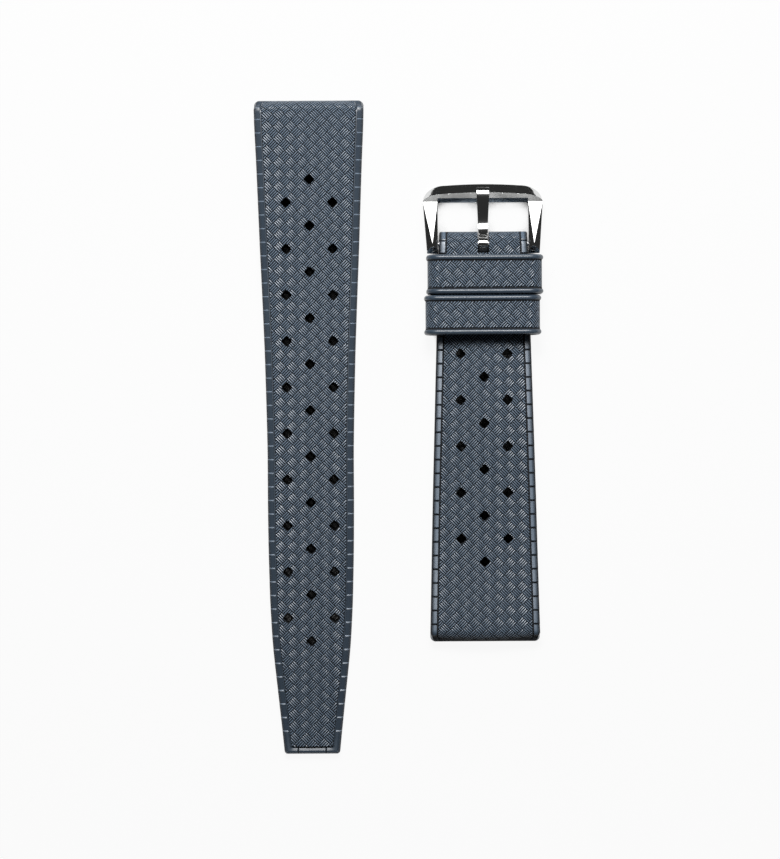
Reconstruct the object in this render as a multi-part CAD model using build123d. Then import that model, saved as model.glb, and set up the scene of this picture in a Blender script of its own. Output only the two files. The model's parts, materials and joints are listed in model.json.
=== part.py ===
from build123d import *
import math
import os

# A two-piece rubber watch strap, laid out flat: the long half with the adjustment holes on
# the left, and the short half with its buckle and two keepers on the right. +Z is up, +Y runs
# along the straps towards the buckle, and the origin is at the middle of the footprint.

# Straps: lengths and widths
long_length = 119.0
short_length = 74.5
lug_width = 20.0
waist_width = 15.7
tip_width = 10.0
buckle_end_width = 15.9
centre_spacing = 31.6
lug_end_offset = 20.4

# Straps: heights
lug_thickness = 4.4
strap_thickness = 3.0
tip_thickness = 2.4
buckle_end_thickness = 4.2
crown_height = 0.45
nose_allowance = 0.03

# Straps: where the outline and the heights change, measured from the lug end
lug_flat = 4.5
thin_from = 30.0
waist_start = 63.6
waist_end = 74.0
rest_length = 12.0
rise_margin = 1.0
buckle_end_ramp = 8.0

# Straps: moulded edge and corners
rail_width = 1.1
groove_width = 0.28
groove_depth = 0.35
shoulder_radius = 0.45
back_edge_break = 0.3
corner_radius = 0.6

# Straps: holes and bores
hole_side = 1.45
hole_corner_radius = 0.3
hole_pitch = 8.4
hole_offset = 4.25
long_first_hole = 14.4
long_hole_count = 11
short_first_hole = 14.5
short_hole_count = 5
lug_bore_radius = 1.0
slot_width = 2.0
slot_depth = 3.9
slot_corner_radius = 0.35

# Spring bar of the buckle
bar_radius = 0.85
bar_wall = 0.25
bar_lip = 0.25
pin_tip_radius = 0.4
pin_flange_radius = 0.75
pin_flange_length = 0.3
pin_travel = 1.0
pin_engagement = 0.9
pin_head_length = 1.1
spring_wall = 0.15

# Buckle frame
arm_front_width = 2.65
arm_end_width = 1.95
frame_reach = 11.0
frame_end_radius = 1.75
front_bar_depth = 3.4
front_bar_height = 2.6
outer_bevel_depth = 1.7
inner_bevel_depth = 0.85
inner_bevel_drop = 0.6
front_edge_height = 1.45
front_top_slope = 3.0
front_bow = 0.25
corner_length_x = 4.1
corner_length_y = 3.0
window_corner_radius = 0.6
foot_length = 4.9
facet_drop = 0.75
pin_hole_depth = 1.3

# Buckle tang
tang_root_width = 1.6
tang_mid_width = 1.9
tang_tip_width = 2.25
tang_thickness = 0.85
tang_wall = 0.5
tang_reach = 10.3
tang_dip_reach = 4.7
tang_dip_depth = 0.75
tang_tip_drop = 0.45

# Keepers
keeper_length = 7.1
keeper_wall = 1.0
keeper_side_room = 1.4
keeper_tail_room = 2.6
keeper_corner_radius = 2.2
keeper_inner_corner_radius = 0.7
keeper_gap = 0.25
keeper_shift = 0.4
keeper_travel = 15.0
bead_radius = 0.5
bead_stand = 0.25

# Clearances between pieces that fit or move on each other
strap_to_keeper_floor = 0.2
strap_end_to_frame = 0.3
bar_to_bore = 0.15
bar_to_tang = 0.1
pin_head_to_tube = 0.08
pin_neck_to_lip = 0.07
pin_to_frame_hole = 0.1
flange_to_tube = 0.1
spring_end_gap = 0.05
bar_inset_extra = 0.1
tang_to_front_bar = 0.1
keeper_to_frame = 0.35

overrun = 5.0

# How the width falls: share of the way along, and share of the width still to lose
long_taper_shares = [
    (0.0, 1.0), (0.06, 0.977), (0.17, 0.826), (0.286, 0.698), (0.43, 0.547),
    (0.572, 0.365), (0.715, 0.198), (0.857, 0.086), (1.0, 0.0),
]
tip_taper_shares = [
    (0.0, 1.0), (0.17, 0.974), (0.38, 0.895), (0.54, 0.76), (0.62, 0.644), (0.78, 0.368), (1.0, 0.0),
]
short_taper_shares = [(0.0, 1.0), (0.03, 0.976), (0.36, 0.693), (0.69, 0.349), (0.8, 0.24), (1.0, 0.0)]
# How the short half rises from the table onto the keepers' floors
rise_shares = [(0.0, 0.0), (0.2, 0.09), (0.4, 0.35), (0.6, 0.65), (0.8, 0.91), (1.0, 1.0)]

# Sizes that follow from the ones above
strap_lift = bead_stand + keeper_wall + strap_to_keeper_floor
buckle_end_radius = (buckle_end_thickness + nose_allowance) / 2
lug_radius = (lug_thickness + nose_allowance) / 2
bar_inset = buckle_end_radius + bar_inset_extra
bar_height = strap_lift + buckle_end_radius
bar_inner_radius = bar_radius - bar_wall
bar_half_length = buckle_end_width / 2 - pin_flange_length - pin_travel - flange_to_tube
pin_flange_inner = bar_half_length + flange_to_tube + pin_travel
pin_head_inner = bar_half_length - bar_lip - spring_end_gap - pin_head_length
window_half_width = buckle_end_width / 2 + strap_end_to_frame
arm_front = frame_reach - front_bow - corner_length_y
bar_inner = frame_reach - front_bar_depth
front_top_fall = math.tan(math.radians(front_top_slope))
pin_end = window_half_width + pin_engagement
frame_half_width = window_half_width + arm_front_width
keeper_inner_width = buckle_end_width + 2 * keeper_side_room
keeper_inner_height = strap_thickness + keeper_tail_room
keeper_half_width = keeper_inner_width / 2 + keeper_wall + bead_stand
keeper_from_end = bar_inset + frame_end_radius + keeper_to_frame
keeper_zone = keeper_from_end + 2 * keeper_length + keeper_gap + keeper_travel
raised_from = short_length - keeper_zone - rise_margin

half_span = (lug_width / 2 + centre_spacing + max(frame_half_width, keeper_half_width)) / 2
long_x = lug_width / 2 - half_span
short_x = long_x + centre_spacing
long_lug_y = long_length / 2
short_lug_y = lug_end_offset - long_length / 2
buckle_end_y = short_lug_y + short_length
bar_y = buckle_end_y - bar_inset


def interpolate(table, place):
    """Value of a table of (place, value) pairs at a place, straight between its pairs."""
    for (start, first), (end, last) in zip(table, table[1:]):
        if place <= end:
            return first + (last - first) * (place - start) / (end - start)
    return table[-1][1]


def blend(shares, start, end, first, last):
    """Pairs that run from first to last between two stations, by a table of shares."""
    return [(start + (end - start) * way, last + (first - last) * left) for way, left in shares]


def long_tables():
    """Width, back height and thickness of the long half, by distance from its lug end."""
    width = blend(long_taper_shares, 0, waist_start, lug_width, waist_width)
    width += blend(tip_taper_shares, waist_end, long_length, waist_width, tip_width)
    thickness = [
        (0, lug_thickness), (lug_flat, lug_thickness), (thin_from, strap_thickness),
        (waist_end, strap_thickness), (long_length, tip_thickness),
    ]
    return width, [(0, 0), (long_length, 0)], thickness


def short_tables():
    """Width, back height and thickness of the short half, by distance from its lug end."""
    width = blend(short_taper_shares, 0, short_length, lug_width, buckle_end_width)
    thick_end = short_length - 2 * buckle_end_radius
    thickness = [
        (0, lug_thickness), (lug_flat, lug_thickness), (thin_from, strap_thickness),
        (thick_end - buckle_end_ramp, strap_thickness), (thick_end, buckle_end_thickness),
        (short_length, buckle_end_thickness),
    ]
    rise_length = raised_from - rest_length
    back = [(0, 0)]
    back += [(rest_length + rise_length * way, strap_lift * share) for way, share in rise_shares]
    back += [(short_length, strap_lift)]
    return width, back, thickness


def strap_section(station, half_width, back, thickness):
    """Cross-section with a flat back, two moulded rails, two grooves and a crowned field."""
    crown_top = back + thickness
    rail_top = crown_top - crown_height
    groove_floor = rail_top - groove_depth
    shoulder = half_width - shoulder_radius
    shoulder_bend = shoulder_radius * math.sin(math.radians(45))
    rail_edge = half_width - rail_width
    field_edge = rail_edge - groove_width
    right = Polyline(
        (half_width - back_edge_break, back), (half_width, back + back_edge_break),
        (half_width, rail_top - shoulder_radius),
    )
    right += ThreePointArc(
        (half_width, rail_top - shoulder_radius),
        (shoulder + shoulder_bend, rail_top - shoulder_radius + shoulder_bend),
        (shoulder, rail_top),
    )
    right += Polyline(
        (shoulder, rail_top), (rail_edge, rail_top), (rail_edge, groove_floor),
        (field_edge, groove_floor), (field_edge, rail_top),
    )
    crown = ThreePointArc((field_edge, rail_top), (0, crown_top), (-field_edge, rail_top))
    base = Line((back_edge_break - half_width, back), (half_width - back_edge_break, back))
    outline = right + mirror(right, Plane.YZ) + crown + base
    return Plane.XZ.offset(-station) * make_face(outline)


def strap_blank(tables):
    """The moulded strip before its ends are rounded, with its lug end at y = 0."""
    width, back, thickness = tables
    stations = sorted({round(row[0], 4) for table in tables for row in table})
    sections = [
        strap_section(
            place, interpolate(width, place) / 2, interpolate(back, place), interpolate(thickness, place)
        )
        for place in stations
    ]
    return loft(sections, ruled=True)


def end_round(place, inward, radius, height):
    """What is cut from a strap end to leave a half-round nose about a cross bar."""
    block = Pos(0, place - inward * overrun, height) * Box(
        lug_width + 2 * overrun, 2 * (radius + overrun), 2 * (radius + overrun)
    )
    centre = Pos(0, place + inward * radius, height)
    nose = centre * Rot(0, 90, 0) * Cylinder(radius, lug_width + 2 * overrun)
    return block - nose


def corner_round(half_width, place, inward, side, radius):
    """What is cut from one corner of a strap's outline to round it."""
    inner_x = side * (half_width - radius)
    inner_y = place + inward * radius
    block = Pos(inner_x, inner_y, 0) * Box(
        radius + overrun, radius + overrun, 2 * (lug_thickness + overrun),
        align=(Align.MIN if side > 0 else Align.MAX, Align.MAX if inward > 0 else Align.MIN, Align.CENTER),
    )
    post = Pos(inner_x, inner_y, 0) * Cylinder(radius, 2 * (lug_thickness + overrun))
    return block - post


def cross_bore(place, height, radius):
    """A round hole right across a strap, for a bar."""
    return Pos(0, place, height) * Rot(0, 90, 0) * Cylinder(radius, lug_width + 2 * overrun)


def diamond_holes(centre_places, side_places):
    """Rounded diamond holes through a strap: one row on the centre line and one each side."""
    points = [(0, place) for place in centre_places]
    points += [(side * hole_offset, place) for place in side_places for side in (-1, 1)]
    diamond = RectangleRounded(hole_side, hole_side, hole_corner_radius, rotation=45)
    reach = lug_thickness + strap_lift
    return [Pos(x, y) * extrude(diamond, reach, both=True) for x, y in points]


def make_long_strap():
    body = strap_blank(long_tables())
    centre_places = [long_first_hole + hole_pitch * index for index in range(long_hole_count)]
    side_places = [place + hole_pitch / 2 for place in centre_places[:-1]]
    tip_rail_top = tip_thickness - crown_height
    end_rail = rail_width + groove_width
    cuts = diamond_holes(centre_places, side_places)
    cuts += [end_round(0, 1, lug_radius, lug_radius), cross_bore(lug_radius, lug_radius, lug_bore_radius)]
    for side in (-1, 1):
        cuts.append(corner_round(lug_width / 2, 0, 1, side, corner_radius))
        cuts.append(corner_round(tip_width / 2, long_length, -1, side, corner_radius))
    cuts.append(
        Pos(0, long_length - end_rail, tip_rail_top)
        * Box(lug_width, end_rail + overrun, overrun, align=(Align.CENTER, Align.MIN, Align.MIN))
    )
    cuts.append(
        Pos(0, long_length - end_rail, tip_rail_top - groove_depth)
        * Box(tip_width - 2 * rail_width, groove_width, overrun, align=(Align.CENTER, Align.MIN, Align.MIN))
    )
    body = body - cuts
    return Pos(long_x, long_lug_y, 0) * Rot(0, 0, 180) * body


def make_short_strap():
    body = strap_blank(short_tables())
    centre_places = [short_first_hole + hole_pitch * index for index in range(short_hole_count)]
    side_places = [place + hole_pitch / 2 for place in centre_places]
    cuts = diamond_holes(centre_places, side_places)
    cuts += [end_round(0, 1, lug_radius, lug_radius), cross_bore(lug_radius, lug_radius, lug_bore_radius)]
    cuts.append(end_round(short_length, -1, buckle_end_radius, bar_height))
    cuts.append(cross_bore(short_length - bar_inset, bar_height, bar_radius + bar_to_bore))
    for side in (-1, 1):
        cuts.append(corner_round(lug_width / 2, 0, 1, side, corner_radius))
    slot = Pos(0, short_length - slot_depth) * RectangleRounded(
        slot_width, 2 * slot_depth, slot_corner_radius, align=(Align.CENTER, Align.MIN)
    )
    cuts.append(extrude(slot, bar_height + overrun))
    body = body - cuts
    return Pos(short_x, short_lug_y, 0) * body


def make_bar_tube():
    outer = Cylinder(bar_radius, 2 * bar_half_length)
    hollow = Cylinder(bar_inner_radius, 2 * (bar_half_length - bar_lip))
    mouth = Cylinder(pin_tip_radius + pin_neck_to_lip, 2 * bar_half_length + overrun)
    return Pos(short_x, bar_y, bar_height) * Rot(0, 90, 0) * (outer - hollow - mouth)


def make_pin(side):
    """One sprung end pin of the bar: tip, flange, neck and a head behind the tube's lip."""
    low = (Align.CENTER, Align.CENTER, Align.MIN)
    head_radius = bar_inner_radius - pin_head_to_tube
    neck = Pos(0, 0, pin_head_inner) * Cylinder(pin_tip_radius, pin_end - pin_head_inner, align=low)
    flange = Pos(0, 0, pin_flange_inner) * Cylinder(pin_flange_radius, pin_flange_length, align=low)
    head = Pos(0, 0, pin_head_inner) * Cylinder(head_radius, pin_head_length, align=low)
    return Pos(short_x, bar_y, bar_height) * Rot(0, side * 90, 0) * (neck + flange + head)


def make_bar_spring():
    """The coil spring between the two pins, as the sleeve that its coils fill."""
    outer_radius = bar_inner_radius - pin_head_to_tube
    half_length = pin_head_inner - spring_end_gap
    sleeve = Cylinder(outer_radius, 2 * half_length) - Cylinder(outer_radius - spring_wall, 2 * half_length)
    return Pos(short_x, bar_y, bar_height) * Rot(0, 90, 0) * sleeve


def frame_outline(reach, corner_y, height):
    """Outline of the buckle's front with bowed edge and elliptical corners, at one height."""
    half = frame_half_width
    corner_x = half - corner_length_x
    shoulder_y = reach - front_bow - corner_y
    front = ThreePointArc((-corner_x, reach - front_bow), (0, reach), (corner_x, reach - front_bow))
    right = EllipticalCenterArc(
        (corner_x, shoulder_y), corner_length_x, corner_y, start_angle=0, arc_size=90
    )
    left = EllipticalCenterArc(
        (-corner_x, shoulder_y), corner_length_x, corner_y, start_angle=90, arc_size=90
    )
    back = Polyline((-half, shoulder_y), (-half, -overrun), (half, -overrun), (half, shoulder_y))
    return Pos(0, 0, height) * make_face(front + right + left + back)


def facet_cutter(apex, edge_end, low_point, side):
    """A block whose underside is the plane through three points, to cut one facet of an arm."""
    apex, edge_end, low_point = Vector(*apex), Vector(*edge_end), Vector(*low_point)
    along = (edge_end - apex).normalized()
    normal = along.cross(low_point - apex).normalized()
    if normal.Z < 0:
        normal = normal * -1
    plane = Plane(origin=edge_end, x_dir=along, z_dir=normal)
    outward = plane.y_dir.X * side > 0
    return plane * Box(
        frame_reach + overrun, frame_end_radius + overrun, frame_end_radius + overrun,
        align=(Align.MAX, Align.MIN if outward else Align.MAX, Align.MIN),
    )


def make_buckle_frame():
    """Front bar with bevelled edges and two faceted arms that turn on the spring bar."""
    top_at_front = front_bar_height
    arm_top = bar_height + frame_end_radius
    side_profile = Polyline(
        (0, bar_height - frame_end_radius), (foot_length, 0), (frame_reach, 0),
        (frame_reach, top_at_front), (arm_front, top_at_front), (0, arm_top),
    )
    side_profile += ThreePointArc(
        (0, arm_top), (-frame_end_radius, bar_height), (0, bar_height - frame_end_radius)
    )
    body = extrude(Plane.YZ * make_face(side_profile), frame_half_width, both=True)

    straight = extrude(frame_outline(frame_reach, corner_length_y, 0), front_edge_height)
    sloped = loft(
        [
            frame_outline(frame_reach, corner_length_y, front_edge_height),
            frame_outline(
                frame_reach - outer_bevel_depth, corner_length_y - outer_bevel_depth, front_bar_height
            ),
        ],
        ruled=True,
    )
    rear = Pos(0, arm_front, 0) * Box(
        2 * frame_half_width, arm_front + overrun, arm_top + overrun,
        align=(Align.CENTER, Align.MAX, Align.MIN),
    )
    body = body & (straight + sloped + rear)
    top_slope = Polyline(
        (arm_front, front_bar_height),
        (frame_reach, front_bar_height - (frame_reach - arm_front) * front_top_fall),
        (frame_reach, front_bar_height + overrun), (arm_front, front_bar_height + overrun), close=True,
    )
    body = body - extrude(Plane.YZ * make_face(top_slope), frame_half_width, both=True)

    half = frame_half_width
    end_half = window_half_width + arm_end_width
    for side in (-1, 1):
        wedge = Polyline(
            (side * half, arm_front), (side * end_half, -frame_end_radius),
            (side * end_half, -overrun), (side * (half + overrun), -overrun),
            (side * (half + overrun), arm_front), (side * half, arm_front),
        )
        body = body - extrude(make_face(wedge), arm_top + overrun)

    window = Pos(0, -overrun) * RectangleRounded(
        2 * window_half_width, bar_inner + overrun, window_corner_radius, align=(Align.CENTER, Align.MIN)
    )
    body = body - extrude(window, arm_top + overrun)
    bevel_low = front_bar_height - inner_bevel_drop
    bevel = Polyline(
        (bar_inner - window_corner_radius, bevel_low), (bar_inner, bevel_low),
        (bar_inner + inner_bevel_depth, front_bar_height),
        (bar_inner + inner_bevel_depth, front_bar_height + overrun),
        (bar_inner - window_corner_radius, front_bar_height + overrun), close=True,
    )
    body = body - extrude(Plane.YZ * make_face(bevel), window_half_width, both=True)

    ridge = (window_half_width + end_half) / 2
    hole = Cylinder(pin_tip_radius + pin_to_frame_hole, 2 * (window_half_width + pin_hole_depth))
    body = body - Pos(0, 0, bar_height) * Rot(0, 90, 0) * hole
    for side in (-1, 1):
        apex = (side * ridge, 0, arm_top)
        low = (side * end_half, 0, arm_top - facet_drop)
        body = body - facet_cutter(apex, (side * half, arm_front, top_at_front), low, side)
        low = (side * window_half_width, 0, arm_top - facet_drop)
        body = body - facet_cutter(apex, (side * window_half_width, arm_front, top_at_front), low, -side)
    return Pos(short_x, bar_y, 0) * body


def make_tang():
    """The tongue: an eye round the spring bar and a strip that dips and lies on the front bar."""
    eye_inner = bar_radius + bar_to_tang
    eye_outer = eye_inner + tang_wall
    rest_start = bar_inner + inner_bevel_depth
    rest_height = front_bar_height - (rest_start - arm_front) * front_top_fall
    rest_low = rest_height + tang_to_front_bar - bar_height
    rest_top = rest_low + tang_thickness
    rest_end = frame_reach - outer_bevel_depth
    start_y = eye_outer * math.sin(math.radians(30))
    start_z = eye_outer * math.cos(math.radians(30))
    top_points = [
        (start_y, start_z), (tang_dip_reach, rest_top - tang_dip_depth), (rest_start, rest_top),
        (rest_end, rest_top), (tang_reach, rest_top - tang_tip_drop),
    ]
    low_points = [(y, z - tang_thickness) for y, z in top_points]
    profile = Spline(*top_points) + Line(top_points[-1], low_points[-1])
    profile += Spline(*reversed(low_points)) + Line(low_points[0], top_points[0])
    strip = extrude(Plane.YZ * make_face(profile), tang_tip_width / 2, both=True)
    plan = Polyline(
        (tang_root_width / 2, 0), (tang_mid_width / 2, tang_dip_reach), (tang_tip_width / 2, rest_start),
        (tang_tip_width / 2, tang_reach + overrun), (-tang_tip_width / 2, tang_reach + overrun),
        (-tang_tip_width / 2, rest_start), (-tang_mid_width / 2, tang_dip_reach), (-tang_root_width / 2, 0),
        close=True,
    )
    strip = strip & (Pos(0, 0, -overrun) * extrude(make_face(plan), 2 * overrun))
    eye = Rot(0, 90, 0) * Cylinder(eye_outer, tang_root_width)
    hole = Rot(0, 90, 0) * Cylinder(eye_inner, tang_tip_width)
    return Pos(short_x, bar_y, bar_height) * (strip + eye - hole)


def make_keeper(near_edge, shift):
    """A rubber loop with a round bead at both rims, open along Y."""
    outer_width = keeper_inner_width + 2 * keeper_wall
    outer_height = keeper_inner_height + 2 * keeper_wall
    inner = RectangleRounded(keeper_inner_width, keeper_inner_height, keeper_inner_corner_radius)
    ring = RectangleRounded(outer_width, outer_height, keeper_corner_radius) - inner
    band = extrude(Plane.XZ * ring, (keeper_length - 2 * bead_radius) / 2, both=True)
    bead_inset = bead_radius - bead_stand
    path_face = RectangleRounded(
        outer_width - 2 * bead_inset, outer_height - 2 * bead_inset, keeper_corner_radius - bead_inset
    )
    for end in (-1, 1):
        path = (Plane.XZ.offset(end * (keeper_length / 2 - bead_radius)) * path_face).wire()
        section = Plane(origin=path @ 0, z_dir=path % 0) * Circle(bead_radius)
        band = band + sweep(section, path=path)
    middle_height = outer_height / 2 + bead_stand
    return Pos(short_x + shift, near_edge - keeper_length / 2, middle_height) * band


keeper_near_edge = buckle_end_y - keeper_from_end
parts = {
    "long_strap": make_long_strap(),
    "short_strap": make_short_strap(),
    "buckle_frame": make_buckle_frame(),
    "buckle_tang": make_tang(),
    "spring_bar_tube": make_bar_tube(),
    "spring_bar_pin_left": make_pin(-1),
    "spring_bar_pin_right": make_pin(1),
    "spring_bar_spring": make_bar_spring(),
    "upper_keeper": make_keeper(keeper_near_edge, keeper_shift / 2),
    "lower_keeper": make_keeper(keeper_near_edge - keeper_length - keeper_gap, -keeper_shift / 2),
}

os.makedirs("parts", exist_ok=True)
for name, solid in parts.items():
    export_step(solid, "parts/" + name + ".step")
    print(name, round(solid.volume, 3), len(solid.solids()))
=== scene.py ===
import bpy
import bmesh
import json
import math
import numpy as np
from mathutils import Euler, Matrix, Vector
from mathutils.bvhtree import BVHTree
from mathutils.geometry import delaunay_2d_cdt

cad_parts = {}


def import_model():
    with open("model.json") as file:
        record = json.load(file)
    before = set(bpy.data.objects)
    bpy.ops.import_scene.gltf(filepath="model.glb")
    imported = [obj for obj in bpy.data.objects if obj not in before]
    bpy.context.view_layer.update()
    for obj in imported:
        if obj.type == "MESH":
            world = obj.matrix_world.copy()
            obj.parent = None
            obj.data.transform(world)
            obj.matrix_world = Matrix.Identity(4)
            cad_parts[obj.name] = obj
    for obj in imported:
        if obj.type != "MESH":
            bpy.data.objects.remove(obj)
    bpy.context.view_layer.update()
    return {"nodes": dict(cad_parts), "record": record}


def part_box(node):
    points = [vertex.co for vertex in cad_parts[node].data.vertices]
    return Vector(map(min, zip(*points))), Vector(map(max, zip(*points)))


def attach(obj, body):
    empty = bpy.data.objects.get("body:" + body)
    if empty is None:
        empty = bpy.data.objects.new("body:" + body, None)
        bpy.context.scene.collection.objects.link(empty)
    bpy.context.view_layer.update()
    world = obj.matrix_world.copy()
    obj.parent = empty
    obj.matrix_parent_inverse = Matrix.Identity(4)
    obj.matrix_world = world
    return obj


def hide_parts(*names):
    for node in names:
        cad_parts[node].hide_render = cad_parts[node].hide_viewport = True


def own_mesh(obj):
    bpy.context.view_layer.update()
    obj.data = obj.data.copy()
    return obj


# A rubber dive strap in two halves, seen from straight above.
# Lengths in the settings are millimetres; mm turns them into Blender's metres.
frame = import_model()
mm = 0.001
print("frame loaded:", len(frame["nodes"]), "nodes")


# Moulded basket weave: squares at 45 degrees, each with a bundle of ribs

weave = {
    "diagonal": 2.182,                              # corner to corner of one square
    "ribs": 4,                                      # ribs in a bundle
    "crownDrop": 0.07,                              # how far a bundle dips at its ends
    "crownPower": 2.2,                              # how late it dips
    "ribDrop": 0.16,                                # depth between two ribs
    "ribRound": 0.037,                              # fall from a rib's ridge to its shoulders
    "ribTone": (0.7, 2.0),                          # tone of a rib's shoulders, and of its ridge with a painted highlight
    "alongStops": (0, 0.05, 0.22, 0.5, 0.78, 0.95, 1),      # lines across a bundle, of its length
    "acrossStops": (0, 0.22, 0.5, 0.78),            # lines along a rib, of its width
    "margin": 0.06,                                 # clear space left beside edges and holes
    "halvings": 16,                                 # tries to find where a rib is cut off
}
weave["low"] = weave["crownDrop"] + weave["ribDrop"]


def latticeCoords(pattern, x, t):
    p = ((x - pattern["x"]) + (t - pattern["t"])) / weave["diagonal"] + 0.5
    q = ((t - pattern["t"]) - (x - pattern["x"])) / weave["diagonal"] + 0.5
    return p, q


def weaveSkin(pattern, x, t):
    # depth below the skin, and tone: 0 for a painted shade in a crease, 1 on plain rubber, 2 for a
    # painted highlight on a rib's ridge
    p, q = latticeCoords(pattern, x, t)
    i, j = np.floor(p), np.floor(q)
    alongP = ((i + j) % 2 == 0) == pattern["rising"]
    a = np.where(alongP, p - i, q - j)
    c = np.where(alongP, q - j, p - i)
    crown = weave["crownDrop"] * np.abs(2 * a - 1) ** weave["crownPower"]
    phase = c * weave["ribs"] % 1
    first, middle = weave["acrossStops"][1], weave["acrossStops"][2]
    away = np.abs(phase - middle)
    top = middle - first
    low, ribRound = weave["low"], weave["ribRound"]
    flank = ribRound + (weave["ribDrop"] - ribRound) * (away - top) / (middle - top)
    rib = np.where(away < top, ribRound * away / top, flank)
    edge = np.clip(np.minimum(a, 1 - a) / weave["alongStops"][1], 0, 1)
    shoulder, ridgeHighlight = weave["ribTone"]
    tone = np.interp(away, [0, top, middle], [ridgeHighlight, shoulder, 0]) * edge
    depth = low + (crown + rib - low) * edge
    side = np.minimum(c, 1 - c) * weave["ribs"] / first
    rising = np.maximum(depth, low + (depth - low) * np.clip(side, 0, 1))
    return np.where(side < 1, rising, depth), tone


def weaveLines(pattern, xRange, tRange, clear):
    # nodes and edges of the ribs, kept where clear(x, t) is above 0 and cut off at 0
    half = weave["diagonal"] / 2
    reach = int((xRange[1] - xRange[0] + tRange[1] - tRange[0]) / weave["diagonal"]) + 3
    midX, midT = sum(xRange) / 2, sum(tRange) / 2
    p0, q0 = (int(v) for v in latticeCoords(pattern, midX, midT))
    ribStops = sorted({(k + stop) / weave["ribs"] for k in range(weave["ribs"])
                       for stop in weave["acrossStops"]} | {1.0})
    segments = []
    seam = sorted(set(ribStops) | set(weave["alongStops"]))
    for i in range(p0 - reach, p0 + reach):
        for j in range(q0 - reach, q0 + reach):
            cx = pattern["x"] + (i - j) * half
            ct = pattern["t"] + (i + j) * half
            inX = xRange[0] - half < cx < xRange[1] + half
            if not (inX and tRange[0] - half < ct < tRange[1] + half):
                continue
            alongP = ((i + j) % 2 == 0) == pattern["rising"]
            lines = [[(a, c) for a in weave["alongStops"]] for c in ribStops[1:-1]]
            lines += [[(a, c) for c in ribStops] for a in weave["alongStops"][1:-1]]
            lines = [[(u, v) if alongP else (v, u) for u, v in line] for line in lines]
            lines += [[(0, s) for s in seam], [(s, 0) for s in seam]]
            for line in lines:
                for (u0, v0), (u1, v1) in zip(line, line[1:]):
                    segments.append((i + u0, j + v0, i + u1, j + v1))
    s = np.array(segments) - 0.5

    def spot(p, q):
        return pattern["x"] + (p - q) * half, pattern["t"] + (p + q) * half

    ax, at = spot(s[:, 0], s[:, 1])
    bx, bt = spot(s[:, 2], s[:, 3])
    inA, inB = clear(ax, at) > 0, clear(bx, bt) > 0
    keep = inA | inB
    ax, at, bx, bt, inA, inB = (v[keep] for v in (ax, at, bx, bt, inA, inB))
    cut = inA != inB
    low = np.where(inA, 0.0, 1.0)[cut]              # share of the way at the kept end
    high = 1 - low
    for _ in range(weave["halvings"]):
        mid = (low + high) / 2
        good = clear(ax[cut] + (bx - ax)[cut] * mid, at[cut] + (bt - at)[cut] * mid) > 0
        low, high = np.where(good, mid, low), np.where(good, high, mid)
    cutX, cutT = ax[cut] + (bx - ax)[cut] * low, at[cut] + (bt - at)[cut] * low
    swapA = cut & ~inA
    swapB = cut & ~inB
    ax[swapA], at[swapA] = cutX[~inA[cut]], cutT[~inA[cut]]
    bx[swapB], bt[swapB] = cutX[~inB[cut]], cutT[~inB[cut]]
    return np.stack([ax, at, bx, bt], 1)


# Sheets and walls shared by the straps, keepers and coils

meshing = {
    "digits": 4, "snap": 1e-5,                      # when points of the flat lines are one point
    "weld": 0.003, "sliver": 0.001,                 # and points of the finished mesh
    "sharp": 22,                                    # degrees from which an edge is left unsmoothed
    "hair": 1e-3, "slack": 1e-4,                    # how near still counts as on a line
}


def triangulate(segments, inside):
    # constrained triangles of line segments (x, t, x, t), kept where inside(x, t) holds
    ends = np.concatenate([segments[:, :2], segments[:, 2:]])
    keys, index = np.unique(np.round(ends, meshing["digits"]), axis=0, return_inverse=True)
    index = index.reshape(-1)
    pairs = np.stack([index[:len(segments)], index[len(segments):]], 1)
    pairs = np.unique(np.sort(pairs[pairs[:, 0] != pairs[:, 1]], axis=1), axis=0)
    shift = keys.mean(0)
    corners = [Vector(k) for k in (keys - shift).tolist()]
    made = delaunay_2d_cdt(corners, pairs.tolist(), [], 1, meshing["snap"], False)
    points = np.array([tuple(v) for v in made[0]]) + shift
    faces = np.array([f for f in made[2] if len(f) == 3])
    middle = points[faces].mean(1)
    return points, faces[inside(middle[:, 0], middle[:, 1])]


def boundaryEdges(faces):
    # edges of one face only, in that face's direction
    edges = np.concatenate([faces[:, [0, 1]], faces[:, [1, 2]], faces[:, [2, 0]]])
    keys = np.sort(edges, axis=1)
    _, first, counts = np.unique(keys, axis=0, return_index=True, return_counts=True)
    return edges[first[counts == 1]]


def polyline(points, closed=False):
    # (x, t) points as segments
    p = np.array(points, float)
    if closed:
        p = np.concatenate([p, p[:1]])
    return np.concatenate([p[:-1], p[1:]], 1)


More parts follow.
